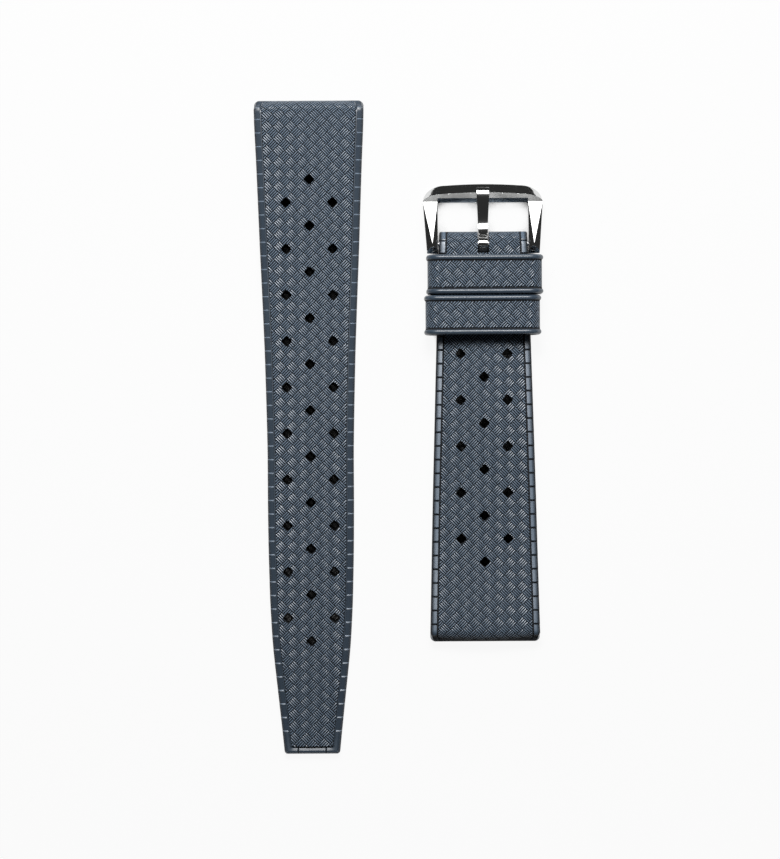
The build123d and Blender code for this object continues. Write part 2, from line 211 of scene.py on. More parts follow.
class Shell:
    # gathers patches of a surface, then welds them into one mesh
    def __init__(self):
        self.points, self.faces, self.tones, self.count = [], [], [], 0

    def add(self, points, faces, tone=1.0):
        self.points.append(np.asarray(points, float))
        self.tones.append(np.broadcast_to(np.asarray(tone, float), len(points)))
        self.faces.append([[int(v) + self.count for v in f] for f in faces])
        self.count += len(points)

    def build(self, name, material):
        mesh = bpy.data.meshes.new(name)
        points = np.concatenate(self.points) * mm
        mesh.from_pydata(points.tolist(), [], [f for patch in self.faces for f in patch])
        # the points' tones are kept as relief, from which the rubber paints shade and highlight
        relief = mesh.attributes.new("relief", "FLOAT", "POINT")
        relief.data.foreach_set("value", np.concatenate(self.tones))
        bm = bmesh.new()
        bm.from_mesh(mesh)
        bmesh.ops.remove_doubles(bm, verts=bm.verts, dist=meshing["weld"] * mm)
        bmesh.ops.dissolve_degenerate(bm, edges=bm.edges, dist=meshing["sliver"] * mm)
        bmesh.ops.recalc_face_normals(bm, faces=bm.faces)
        openEdges = sum(1 for e in bm.edges if len(e.link_faces) != 2)
        bm.to_mesh(mesh)
        bm.free()
        mesh.shade_smooth()
        mesh.set_sharp_from_angle(angle=math.radians(meshing["sharp"]))
        piece = bpy.data.objects.new(name, mesh)
        bpy.context.scene.collection.objects.link(piece)
        mesh.materials.append(material)
        print("made", name, len(mesh.polygons), "faces,", openEdges, "open edges")
        return piece


# Straps: each skin is worked out flat, x across and t along it from the lug end's foremost line

strapEdge = {
    "rail": 1.1, "groove": 0.28, "grooveDepth": 0.45, "grooveSlope": 0.05,
    # shoulderShade: where the outer shoulder's painted shade gives way
    "shoulder": 0.65, "shoulderShade": (0.1, 0.5), "backEdge": 0.3,
    "crown": 0.45, "corner": 0.6, "tipLean": 0.13, "noseFade": 1.0,
    "stitchSteps": ((0, 0.3), (0.11, 0.11), (0.32, 0)),     # past the foot of a stitch: run, depth
    "footReach": 0.01,                                      # how far a stitch's foot keeps its painted shade
    "holeSide": 1.45, "holeRound": 0.3, "holePitch": 8.4, "holeOffset": 4.25,
    "rimShare": 0.9, "rimSink": 0.8, "rimPaintedShade": 0.3,        # a hole's rim, with a painted shade
    "weaveLeft": 0.25, "weaveFrom": 0.4,                    # share of weave at the ends, how far in
    "boreTurns": 28,
}
strapLines = {                                              # spacing of the mesh
    "edgeTurns": (0, 35, 60, 90), "cornerSteps": 6, "tipSteps": 14,
    "noseSteps": 15, "noseMore": 0.8, "stitchLead": 0.1,
    "plain": (4.6, 3.6, 1.1),                               # first, short of the far end, apart
    "plainGap": 0.3, "noseGap": 0.04, "cornerGap": 0.05, "pathGap": 0.02,
    "endFrom": 1.8, "endStep": 0.7, "endClear": 0.35, "slotSteps": 22, "slotCorner": 5,
    "rollReach": 2.2, "rollClear": 0.15, "rollStop": 0.01, "boreClear": 0.04,
    "holeSlack": 0.002, "sideSlack": 0.006,
}
backPockets = {
    # shade: a painted shade in each pocket
    "side": 1.5, "slope": 0.12, "depth": 0.35, "pitch": 2.1, "shade": 0.6,
    "clear": 0.75, "sideClear": 0.6, "endClear": 3,         # from holes, sides and rolled ends
}
longStrap = {
    "node": "long_strap", "body": "long_half", "away": -1, "endNose": False,
    "stitchStart": 1.165, "stitchPitch": 2.473, "stitches": 47, "stitchStop": 1.6,
    "firstHole": 14.4, "centreHoles": 11, "sideHoles": 10,
    # tones paint light and shade: shaded rails, shoulders, grooves, stitch feet and notches, and a
    # painted highlight on the stitch faces
    "weave": {"x": 1.09, "s": 2.64, "rising": False}, "weaveFade": 2.6, "nosePaintedShade": 1.0,
    "railLightAndShade": 0.9, "shoulderPaintedShade": 0.75, "groovePaintedShade": 0.9, "stitchLightAndShade": (0.6, 1.5),
    "tipNotches": (-2.5, 2.55), "notchWidth": 0.3, "notchDepth": 0.16, "notchPaintedShade": 0.6,
    "lugBore": 1.0, "heightsTo": 1.8, "sidesTo": 0,
}
shortStrap = {
    "node": "short_strap", "body": "short_half", "away": 1, "endNose": True,
    "stitchStart": 3.45, "stitchPitch": 2.49, "stitches": 29, "stitchStop": 0,
    "firstHole": 14.5, "centreHoles": 5, "sideHoles": 5,
    # tones paint light and shade: a shaded lug end, lit rails, and shaded shoulders, grooves and
    # stitches
    "weave": {"x": 0.2, "s": 12.12, "rising": True}, "weaveFade": 1.0, "nosePaintedShade": 0.2,
    "railLightAndShade": 1.2, "shoulderPaintedShade": 0.25, "groovePaintedShade": 0, "stitchLightAndShade": (0, 0.3),
    "slotWidth": 2.0, "slotDepth": 3.9, "slotRound": 0.35,
    "lugBore": 1.0, "barBore": 1.0, "heightsTo": 4.4, "sidesTo": 1.0,
}
scan = {                                                    # rays that measure the CAD solid
    "first": 1.0, "last": 0.6, "step": 0.5, "heightsFrom": 3.0, "window": 9,
    "beside": 1.3, "inset": 0.8, "far": 30.0,
}


def measureStrap(strap):
    # outline and heights of the CAD solid, smoothed
    solid = frame["nodes"][strap["node"]].data
    faces = [p.vertices for p in solid.polygons]
    tree = BVHTree.FromPolygons([v.co for v in solid.vertices], faces)
    low, high = (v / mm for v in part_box(strap["node"]))
    length, far = high.y - low.y, scan["far"]
    strap["length"], strap["middle"] = length, (low.x + high.x) / 2
    strap["lugY"] = low.y if strap["away"] > 0 else high.y
    stations = np.arange(scan["first"], length - scan["last"], scan["step"])

    def hit(origin, direction):
        return tree.ray_cast(Vector(origin) * mm, Vector(direction))[0] / mm

    back, top, half = [], [], []
    for s in stations:
        x = strap["middle"] + scan["beside"]
        inside = min(max(s, scan["heightsFrom"]), length - strap["heightsTo"])
        y = strap["lugY"] + strap["away"] * inside
        back.append(hit((x, y, -far), (0, 0, 1)).z)
        top.append(hit((x, y, far), (0, 0, -1)).z)
        y = strap["lugY"] + strap["away"] * min(s, length - strap["sidesTo"])
        side = hit((strap["middle"] + far, y, back[-1] + scan["inset"]), (-1, 0, 0))
        half.append(side.x - strap["middle"])

    def soften(values):
        window = scan["window"]
        padded = np.pad(values, window // 2, mode="reflect", reflect_type="odd")
        return np.convolve(padded, np.ones(window) / window, mode="valid")

    strap["s"] = np.concatenate([[0], stations, [length]])
    for name, values in (("back", back), ("top", top), ("half", half)):
        smooth = soften(np.array(values))
        ends = [smooth[0], smooth[-1]]
        if name == "half":
            ends = [2 * smooth[0] - smooth[2], 2 * smooth[-1] - smooth[-2]]
        strap[name] = np.concatenate([ends[:1], smooth, ends[1:]])
    for end, k in (("lug", 0), ("end", -1)):
        rolled = end == "lug" or strap["endNose"]
        strap[end + "Z"] = (strap["top"][k] + strap["back"][k]) / 2
        strap[end + "Radius"] = (strap["top"][k] - strap["back"][k]) / 2 if rolled else 0
        strap[end + "Arc"] = strap[end + "Radius"] * math.pi / 2
    strap["run"] = (strap["lugArc"] + length - strap["lugRadius"]
                    - strap["endRadius"] + strap["endArc"])


def alongOf(strap, s):
    # distance along the skin for a plan distance outside the noses
    return s - strap["lugRadius"] + strap["lugArc"]


def profileAt(strap, t, depth, face):
    # plan distance and height of a skin point sunk by depth
    r0, r1, t = strap["lugRadius"], strap["endRadius"], np.asarray(t, float)
    s = r0 + t - strap["lugArc"]
    z = np.interp(s, strap["s"], strap["top"] if face > 0 else strap["back"]) - face * depth
    nose = t < strap["lugArc"]
    angle = t / r0
    s = np.where(nose, r0 - (r0 - depth) * np.cos(angle), s)
    z = np.where(nose, strap["lugZ"] + face * (r0 - depth) * np.sin(angle), z)
    if strap["endNose"]:
        tail = t > strap["run"] - strap["endArc"]
        angle = (strap["run"] - t) / r1
        s = np.where(tail, strap["length"] - r1 + (r1 - depth) * np.cos(angle), s)
        z = np.where(tail, strap["endZ"] + face * (r1 - depth) * np.sin(angle), z)
    return s, z


def standing(strap, x, s, z):
    # from a strap's own x, plan distance and height to its place on the table
    return np.stack([strap["middle"] + strap["away"] * x, strap["lugY"] + strap["away"] * s, z], 1)


def roundDrop(d, r):
    # how far a rounded edge has fallen at distance d from the side
    gap = np.clip(r - d, 0, r)
    return r - np.sqrt(np.maximum(r * r - gap * gap, 0))


def outlineHalf(strap, t):
    if "edgeT" in strap:
        return np.interp(t, strap["edgeT"], strap["edgeHalf"])
    s = profileAt(strap, t, 0, 1)[0]
    return np.interp(s, strap["s"], strap["half"]) - roundDrop(s, strapEdge["corner"])


def edgeDistance(strap, x, t):
    side = outlineHalf(strap, t) - np.abs(x)
    if strap["endNose"]:
        return side
    tip, r = strap["run"] - t, strapEdge["corner"]
    rounded = r - np.hypot(np.maximum(r - side, 0), np.maximum(r - tip, 0))
    return np.where((side < r) & (tip < r), rounded, np.minimum(side, tip))


def boxDistance(x, t, halfX, halfT, r):
    # distance to a box with rounded corners, below 0 inside
    qx, qt = np.abs(x) - (halfX - r), np.abs(t) - (halfT - r)
    return np.hypot(np.maximum(qx, 0), np.maximum(qt, 0)) + np.minimum(np.maximum(qx, qt), 0) - r


def holeCentres(strap):
    pitch, offset = strapEdge["holePitch"], strapEdge["holeOffset"]
    spots = [(0, strap["firstHole"] + pitch * k) for k in range(strap["centreHoles"])]
    spots += [(side * offset, strap["firstHole"] + pitch * (k + 0.5))
              for k in range(strap["sideHoles"]) for side in (-1, 1)]
    return [(x, float(alongOf(strap, s))) for x, s in spots]


def openDistance(strap, x, t):
    # distance to the nearest hole or the slot
    nearest = np.full(np.shape(x), np.inf)
    half = strapEdge["holeSide"] / 2
    for hx, ht in strap["holes"]:
        u, v = (x - hx + t - ht) / math.sqrt(2), (t - ht - x + hx) / math.sqrt(2)
        nearest = np.minimum(nearest, boxDistance(u, v, half, half, strapEdge["holeRound"]))
    if not strap["endNose"]:
        return nearest
    reach = strap["run"] - strap["slotT"]
    slot = boxDistance(x, t - strap["run"], strap["slotWidth"] / 2, reach, strap["slotRound"])
    return np.minimum(nearest, slot)


def stitchRun(strap, t):
    # distance past the foot of the last stitch
    s = profileAt(strap, t, 0, 1)[0]
    foot = strap["stitchStart"] - strapEdge["stitchSteps"][-1][0]
    return (s - foot + meshing["slack"]) % strap["stitchPitch"]


def smoothStep(v):
    v = np.clip(v, 0, 1)
    return v * v * (3 - 2 * v)


def fieldSkin(strap, x, t, d):
    # depth and tone of the crowned, woven middle; the tone paints shade at the hole rims and along
    # the groove
    e, fieldFrom = strapEdge, strapEdge["rail"] + strapEdge["groove"]
    crown = e["crown"] * np.minimum((x / (outlineHalf(strap, t) - fieldFrom)) ** 2, 1)
    share = np.ones_like(d)
    for gap in (t,) + ((strap["run"] - t,) if strap["endNose"] else ()):
        fade = smoothStep((gap - e["weaveFrom"]) / strap["weaveFade"])
        share = share * (e["weaveLeft"] + (1 - e["weaveLeft"]) * fade)
    relief, tone = weaveSkin(strap["pattern"], x, t)
    field, tone = crown + relief * share, 1 + (tone - 1) * share
    rim = weave["margin"] * e["rimShare"]
    atHole = openDistance(strap, x, t) < rim
    field = np.where(atHole, crown + e["rimSink"] * weave["low"], field)
    tone = np.where(atHole, e["rimPaintedShade"], tone)
    # the field's border at the groove gets a painted shade
    atBorder = d < fieldFrom + rim
    return np.where(atBorder, e["crown"] + weave["low"], field), np.where(atBorder, 0, tone)


def railSkin(strap, x, t, d):
    # depth and tone of the rounded rail, with its moulded stitches or the tip's two notches; the
    # tone paints light and shade on the rail, the stitches and the shoulder
    e, past, steps = strapEdge, stitchRun(strap, t), np.array(strapEdge["stitchSteps"])
    shoulder = e["crown"] + roundDrop(d, e["shoulder"])
    runs, depths = [*steps[:, 0], strap["stitchPitch"]], [*steps[:, 1], steps[0, 1]]
    rail = shoulder + np.interp(past, runs, depths)
    footShade, faceLightAndShade = strap["stitchLightAndShade"]
    tone = np.interp(past, steps[1:, 0], [faceLightAndShade, strap["railLightAndShade"]])
    tone = np.where(past < e["footReach"], footShade, tone)
    tone = tone * np.interp(d, e["shoulderShade"], [strap["shoulderPaintedShade"], 1])
    if not strap["endNose"]:
        onTip = strap["run"] - t < outlineHalf(strap, t) - np.abs(x)
        notch = np.zeros_like(d)
        for nx in strap["tipNotches"]:
            notch = np.maximum(notch, np.clip(1 - np.abs(x - nx) / (strap["notchWidth"] / 2), 0, 1))
        lean = e["tipLean"] * np.clip((d - e["shoulder"]) / (e["rail"] - e["shoulder"]), 0, 1)
        rail = np.where(onTip, shoulder + lean + strap["notchDepth"] * notch, rail)
        # the notches get a painted shade
        tone = np.where(onTip, 1 - strap["notchPaintedShade"] * notch, tone)
    return rail, tone


def topSkin(strap, x, t):
    # depth of the top below its highest line, and its tone, which paints light and shade
    e, d = strapEdge, edgeDistance(strap, x, t)
    fieldFrom, hair = e["rail"] + e["groove"], meshing["hair"]
    rail, railLightAndShade = railSkin(strap, x, t, d)
    field, fieldTone = fieldSkin(strap, x, t, d)
    grooveIn = np.clip(np.minimum(d - e["rail"], fieldFrom - d) / e["grooveSlope"], 0, 1)
    groove = e["crown"] + e["grooveDepth"] * grooveIn
    onRail, inGroove = d < e["rail"] + hair, d < fieldFrom - hair
    depth = np.where(onRail, rail, np.where(inGroove, groove, field))
    # the groove's tone is a painted shade
    tone = np.where(onRail, railLightAndShade, np.where(inGroove, strap["groovePaintedShade"], fieldTone))
    k = smoothStep(t / e["noseFade"])
    if strap["endNose"]:
        k = k * smoothStep((strap["run"] - t) / e["noseFade"])
    # the lug end's roll gets each strap's painted shade
    atLug = smoothStep(t / strap["lugArc"])
    return (roundDrop(d, e["backEdge"]) * (1 - k) + depth * k,
            tone * (strap["nosePaintedShade"] * (1 - atLug) + atLug))


def pocketWanted(strap, cx, ct):
    b = backPockets
    clear = b["clear"] + b["side"] / 2
    return ((openDistance(strap, cx, ct) > clear)
            & (edgeDistance(strap, cx, ct) > clear + b["sideClear"])
            & (ct > strap["lugArc"] + b["endClear"])
            & (ct < strap["run"] - strap["endArc"] - b["endClear"]))


def backSkin(strap, x, t):
    # depth and tone of the flat back with its rows of small square pockets, each pocket darkened by
    # a painted shade
    b, pitch = backPockets, backPockets["pitch"]
    u = (x / pitch + 0.5) % 1 - 0.5
    v = ((t - strap["holes"][0][1]) / pitch + 0.5) % 1 - 0.5
    reach = np.maximum(np.abs(u), np.abs(v)) * pitch
    sunk = np.clip((b["side"] / 2 - reach) / b["slope"], 0, 1)
    sunk = sunk * pocketWanted(strap, x - u * pitch, t - v * pitch)
    edge = roundDrop(edgeDistance(strap, x, t), strapEdge["backEdge"])
    return edge + b["depth"] * sunk, 1 - b["shade"] * sunk


def ringPoints(halfX, halfT, r, steps=4):
    # corners of a rounded box, anticlockwise
    points = []
    for quarter, (sx, st) in enumerate(((1, 1), (-1, 1), (-1, -1), (1, -1))):
        for k in range(steps + 1):
            a = (quarter + k / steps) * math.pi / 2
            points.append((sx * (halfX - r) + r * math.cos(a), st * (halfT - r) + r * math.sin(a)))
    return points


def notchLines(strap):
    # both sides and the middle of each notch in the long tip
    return [nx + side * strap["notchWidth"] / 2
            for nx in strap["tipNotches"] for side in (-1, 0, 1)]


def slotSide(strap):
    # right side of the tang's slot: its straight run from the strap's end, then its corner
    half, r, foot = strap["slotWidth"] / 2, strap["slotRound"], strap["slotT"] + strap["slotRound"]
    straight = [(half, t) for t in np.linspace(strap["run"], foot, strapLines["slotSteps"])]
    turns = np.linspace(0, math.pi / 2, strapLines["slotCorner"])[1:]
    return straight, [(half - r + r * math.cos(a), foot - r * math.sin(a)) for a in turns]


def outlinePath(strap, d, stations):
    # the outline moved inward by d, right side first; closed where the strap has a tip
    half = outlineHalf(strap, stations) - d
    if strap["endNose"]:
        return [list(zip(half, stations)), list(zip(-half, stations))]
    r = strapEdge["corner"]
    stop = strap["run"] - max(d, r)
    right = [(h, t) for h, t in zip(half, stations) if t < stop - strapLines["pathGap"]]
    cornerX = float(outlineHalf(strap, np.array([stop]))[0]) - max(d, r)
    if d < r:
        right += [(cornerX + (r - d) * math.cos(a), stop + (r - d) * math.sin(a))
                  for a in np.linspace(0, math.pi / 2, strapLines["cornerSteps"])]
    else:
        right += [(cornerX, stop)]
    left = [(-x, t) for x, t in reversed(right)]
    tipX, tipT = right[-1]
    across = list(np.linspace(tipX, -tipX, strapLines["tipSteps"])[1:-1]) + notchLines(strap)
    return [right + [(x, tipT) for x in sorted(across, reverse=True)] + left]


def insetLines(strap, stations, offsets):
    return [polyline(path) for d in offsets for path in outlinePath(strap, d, stations)]


def strapStations(strap):
    # places along the skin where lines run across, and those of the stitches among them
    run, e, g = strap["run"], strapEdge, strapLines
    stitches = strap["stitchStart"] + strap["stitchPitch"] * np.arange(strap["stitches"])
    stitches = [float(alongOf(strap, s)) for s in stitches if s > strap["lugRadius"]]
    stitches = [t for t in stitches if t < run - strap["endArc"] - strap["stitchStop"]]
    feet = [t - e["stitchSteps"][-1][0] for t in stitches]
    shifts = (-g["stitchLead"], 0, e["stitchSteps"][1][0])
    stitches += [foot + shift for foot in feet for shift in shifts]

    def besideStitches(places, gap):
        return [t for t in places if min(abs(t - v) for v in stitches) > gap]

    nose = list(np.linspace(0, strap["lugArc"] + g["noseMore"], g["noseSteps"]))
    if strap["endNose"]:
        nose += list(run - np.linspace(0, strap["endArc"] + g["noseMore"], g["noseSteps"]))
    first, last, step = g["plain"]
    plain = besideStitches(np.arange(first, run - last, step), g["plainGap"])
    nose = besideStitches(nose, g["noseGap"])
    stations = np.array(sorted({0.0, run, *nose, *stitches, *plain}))
    if not strap["endNose"]:
        stations = stations[stations < run - e["corner"] - g["cornerGap"]]
        stations = np.sort(np.append(stations, [run - e["corner"], run]))
    return stations, stitches


def borderLines(strap, stations, insets):
    # outline, holes, slot, and the foremost line of each rolled end
    e, g = strapEdge, strapLines
    outer = outlinePath(strap, 0, stations)
    ring = ringPoints(e["holeSide"] / 2, e["holeSide"] / 2, e["holeRound"])
    lines = [polyline(path) for path in outer]
    for hx, ht in strap["holes"]:
        turned = [((u - v) / math.sqrt(2) + hx, (u + v) / math.sqrt(2) + ht) for u, v in ring]
        lines.append(polyline(turned, True))
    half = outer[0][0][0]
    steps = insets + list(np.arange(g["endFrom"], half, g["endStep"]))
    across = sorted({0.0} | {sign * (half - d) for d in steps for sign in (-1, 1)})
    lines.append(polyline([(x, 0) for x in across]))
    if strap["endNose"]:
        straight, corner = slotSide(strap)
        side = straight + corner
        lines.append(polyline(side + [(-x, t) for x, t in reversed(side)]))
        half, slotHalf = outer[0][-1][0], strap["slotWidth"] / 2
        steps = insets + list(np.arange(g["endFrom"], half - slotHalf, g["endStep"]))
        across = sorted({slotHalf} | {half - d for d in steps})
        lines += [polyline([(sign * x, strap["run"]) for x in across]) for sign in (-1, 1)]
    return lines


def topLines(strap, stations, stitches, offsets):
    # edges of rail and groove, stitches, tip notches and weave
    run, fieldFrom, margin = strap["run"], offsets[-1], weave["margin"]
    lines = insetLines(strap, stations, offsets[1:])
    onRail = [d for d in offsets if d <= strapEdge["rail"]]
    for t in stitches:
        h = float(outlineHalf(strap, np.array([t]))[0])
        lines += [polyline([(sign * (h - d), t) for d in onRail]) for sign in (-1, 1)]
    if not strap["endNose"]:
        lines += [polyline([(x, run - d) for d in onRail]) for x in notchLines(strap)]

    def clear(x, t):
        gaps = [edgeDistance(strap, x, t) - fieldFrom - margin, openDistance(strap, x, t) - margin,
                t - strapLines["endClear"]]
        if strap["endNose"]:
            gaps.append(run - strapLines["endClear"] - t)
        return np.minimum.reduce(gaps)

    widest = float(strap["half"].max())
    return lines + [weaveLines(strap["pattern"], (-widest, widest), (0, run), clear)]


def backLines(strap, stations, offsets):
    # rounded rim, pockets, and lines straight across where the ends roll up
    g, b = strapLines, backPockets
    lines = insetLines(strap, stations, offsets)
    columns, rows = int(strap["half"].max() / b["pitch"]) + 1, int(strap["run"] / b["pitch"])
    for i in range(-columns, columns + 1):
        for j in range(-rows, rows):
            cx, ct = i * b["pitch"], strap["holes"][0][1] + j * b["pitch"]
            if pocketWanted(strap, np.array([cx]), np.array([ct]))[0]:
                for half in (b["side"] / 2, b["side"] / 2 - b["slope"]):
                    corners = ((1, 1), (-1, 1), (-1, -1), (1, -1))
                    square = [(cx + sx * half, ct + st * half) for sx, st in corners]
                    lines.append(polyline(square, True))
    for t, h in zip(stations, outlineHalf(strap, stations) - offsets[-1]):
        acrossAll = 0 < t < strap["lugArc"] + g["rollReach"]
        if strap["endNose"]:
            rollFrom = strap["run"] - strap["endArc"] - g["rollReach"]
            acrossAll |= rollFrom < t < strap["slotT"] - g["rollClear"]
            if strap["slotT"] + strap["slotRound"] < t < strap["run"] - g["rollStop"]:
                sx, st = min(slotSide(strap)[0], key=lambda spot: abs(spot[1] - t))
                lines += [polyline([(sign * h, t), (sign * sx, st)]) for sign in (-1, 1)]
        if acrossAll:
            lines.append(polyline([(-h, t), (h, t)]))
    return lines


def boreSeat(upper, lower, circle, radius):
    # wall patch in (s, z) between two curves, with a bore left open
    wall = polyline(np.concatenate([upper, lower[::-1]]), True)
    lines = np.concatenate([wall, polyline(circle, True)])
    points, faces = triangulate(lines, lambda s, z: np.isfinite(z))
    cs, cz = np.mean(circle, 0)
    onBore = np.hypot(points[:, 0] - cs, points[:, 1] - cz) < radius + meshing["hair"]
    s, z = points[faces].mean(1).T
    between = ((z < np.interp(s, *upper.T) - meshing["slack"])
               & (z > np.interp(s, *lower.T) + meshing["slack"]))
    return points, faces[between & ~onBore[faces].all(1)]


def addBores(shell, strap, x, t, upper, lower, edges):
    # walls round the mouths of the cross bores, and the bores; says which edges still want a wall
    n, hair = strapEdge["boreTurns"], meshing["hair"]
    onSide = np.abs(outlineHalf(strap, t) - np.abs(x)) < hair
    bores = [(strap["lugRadius"], strap["lugZ"], strap["lugBore"], [onSide])]
    if strap["endNose"]:
        inSlot = np.abs(np.abs(x) - strap["slotWidth"] / 2) < hair
        low, high = (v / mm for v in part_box("spring_bar_tube"))
        bores.append(((low.y + high.y) / 2 - strap["lugY"], (low.z + high.z) / 2,
                      strap["barBore"], [onSide, inSlot]))
    wanted = np.ones(len(edges), bool)
    tube = [(k, (k + 1) % n, n + (k + 1) % n, n + k) for k in range(n)]
    for boreS, boreZ, radius, walls in bores:
        turns = np.linspace(0, 2 * math.pi, n, endpoint=False)
        circle = [(boreS + radius * math.cos(a), boreZ + radius * math.sin(a)) for a in turns]
        reach, rims = radius + strapLines["boreClear"], []
        for sign, onWall in [(sign, wall) for sign in (-1, 1) for wall in walls]:
            ids = np.nonzero(onWall & (x * sign > 0) & (np.abs(upper[:, 0] - boreS) < 2 * reach))[0]
            ids = ids[np.argsort(t[ids])]
            first = np.nonzero(np.maximum(upper[ids, 0], lower[ids, 0]) < boreS - reach)[0][-1]
            last = np.nonzero(np.minimum(upper[ids, 0], lower[ids, 0]) > boreS + reach)[0][0]
            ids = ids[first:last + 1]
            wanted &= ~np.isin(edges, ids).all(1)
            points, faces = boreSeat(upper[ids], lower[ids], circle, radius)
            s, z = points.T
            floorZ, roofZ = (np.interp(s, *curve[ids].T) for curve in (lower, upper))
            share = np.clip((z - floorZ) / (roofZ - floorZ), 0, 1)
            wallX = (share * np.interp(s, upper[ids, 0], x[ids])
                     + (1 - share) * np.interp(s, lower[ids, 0], x[ids]))
            placed = standing(strap, wallX, s, z)
            shell.add(placed, faces)
            rims.append(placed[[int(np.argmin(np.hypot(*(points - spot).T))) for spot in circle]])
            if len(rims) == 2:                              # the bore runs between two walls
                shell.add(np.concatenate(rims), tube)
                rims = []
    return wanted


def buildStrap(strap, name, material):
    e, g, hair = strapEdge, strapLines, meshing["hair"]
    measureStrap(strap)
    run, strap["holes"] = strap["run"], holeCentres(strap)
    if strap["endNose"]:
        strap["slotT"] = float(alongOf(strap, strap["length"] - strap["slotDepth"]))
    strap["pattern"] = {**strap["weave"], "t": float(alongOf(strap, strap["weave"]["s"]))}
    stations, stitches = strapStations(strap)
    edgeHalf = outlineHalf(strap, stations)
    if not strap["endNose"]:
        edgeHalf[-1] = edgeHalf[-2]
    strap["edgeT"], strap["edgeHalf"] = stations, edgeHalf

    turned = [1 - math.cos(math.radians(a)) for a in g["edgeTurns"]]
    fieldFrom = e["rail"] + e["groove"]
    topOffsets = [e["shoulder"] * v for v in turned]
    topOffsets += [e["rail"], e["rail"] + e["grooveSlope"], fieldFrom - e["grooveSlope"], fieldFrom]
    backOffsets = [e["backEdge"] * v for v in turned[1:]]
    border = borderLines(strap, stations, sorted(set(topOffsets + backOffsets)))

    def solid(x, t):
        outsideHoles = openDistance(strap, x, t) > -g["holeSlack"]
        return outsideHoles & (edgeDistance(strap, x, t) > g["sideSlack"])

    shell = Shell()
    lines = border + topLines(strap, stations, stitches, topOffsets)
    points, faces = triangulate(np.concatenate(lines), solid)
    x, t = points.T
    topDepths, topTones = topSkin(strap, x, t)
    upS, upZ = profileAt(strap, t, topDepths, 1)
    up = standing(strap, x, upS, upZ)
    shell.add(up, faces, topTones)

    lines = border + backLines(strap, stations, backOffsets)
    backPoints, backFaces = triangulate(np.concatenate(lines), solid)
    bx, bt = backPoints.T
    depths, tones = backSkin(strap, bx, bt)
    shell.add(standing(strap, bx, *profileAt(strap, bt, depths, -1)), backFaces, tones)

    # side walls, hole walls and slot walls stand on the border of the top sheet
    edges = boundaryEdges(faces)
    atNose = (t[edges] < hair).all(1)
    if strap["endNose"]:
        atNose |= (t[edges] > run - hair).all(1)
    edges = edges[~atNose]
    backDepths, backTones = backSkin(strap, x, t)
    downS, downZ = profileAt(strap, t, backDepths, -1)
    down = standing(strap, x, downS, downZ)
    upper, lower = np.stack([upS, upZ], 1), np.stack([downS, downZ], 1)
    wanted = addBores(shell, strap, x, t, upper, lower, edges)
    walls = [(a, b, b + len(up), a + len(up)) for a, b in edges[wanted]]
    shell.add(np.concatenate([up, down]), walls, np.concatenate([topTones, backTones]))
    piece = shell.build(name, material)
    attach(piece, strap["body"])
    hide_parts(strap["node"])
    return piece


# Keepers: a rubber loop with a woven band between two beads

keeperForm = {
    "weaveHalf": 2.45, "bandHalf": 2.617, "weaveReach": 11.4, "weaveFade": 1.2, "weaveGap": 0.1,
    "beadMiddle": 3.05, "beadRadius": 0.5, "beadSink": 0.25,
    "beadTurns": (150, -90), "beadSteps": 12,
    "wall": 1.0, "cornerRadius": 2.2, "innerRadius": 0.7, "cornerSteps": 8, "straightStep": 0.7,
    # the crease at each bead gets a painted shade
    "creasePaintedShade": 0.1,
}
keepers = {
    "upper_keeper": {"patternX": -0.5, "patternY": 0.1},
    "lower_keeper": {"patternX": -0.48, "patternY": 0.05},
}


def loopPoint(ring, a, n):
    # a runs round the loop from the middle of its top, n stands off its outer face
    f = keeperForm
    r, halfX, halfZ = f["cornerRadius"], ring["halfX"], ring["halfZ"]
    sign, a = np.sign(a), np.abs(a)
    flat, side = halfX - r, 2 * (halfZ - r)
    arc = r * math.pi / 2
    # the hole's corners are tighter than a wall of one thickness would leave them
    bend = r + np.maximum(n, 0) + np.minimum(n, 0) * (r - f["innerRadius"]) / f["wall"]
    out = r + n - bend
    turn1 = np.clip((a - flat) / r, 0, math.pi / 2)
    turn2 = np.clip((a - flat - arc - side) / r, 0, math.pi / 2)
    past = np.clip(a - flat - arc, 0, side)
    last = np.clip(a - flat - 2 * arc - side, 0, flat)
    angle = turn1 + turn2
    lower = turn2 > 0
    cx = (np.minimum(a, flat) - last) * (1 + out / flat)
    cz = np.where(lower, -side / 2, side / 2 - past) * (1 + 2 * out / side)
    return sign * (cx + bend * np.sin(angle)), cz + bend * np.cos(angle)


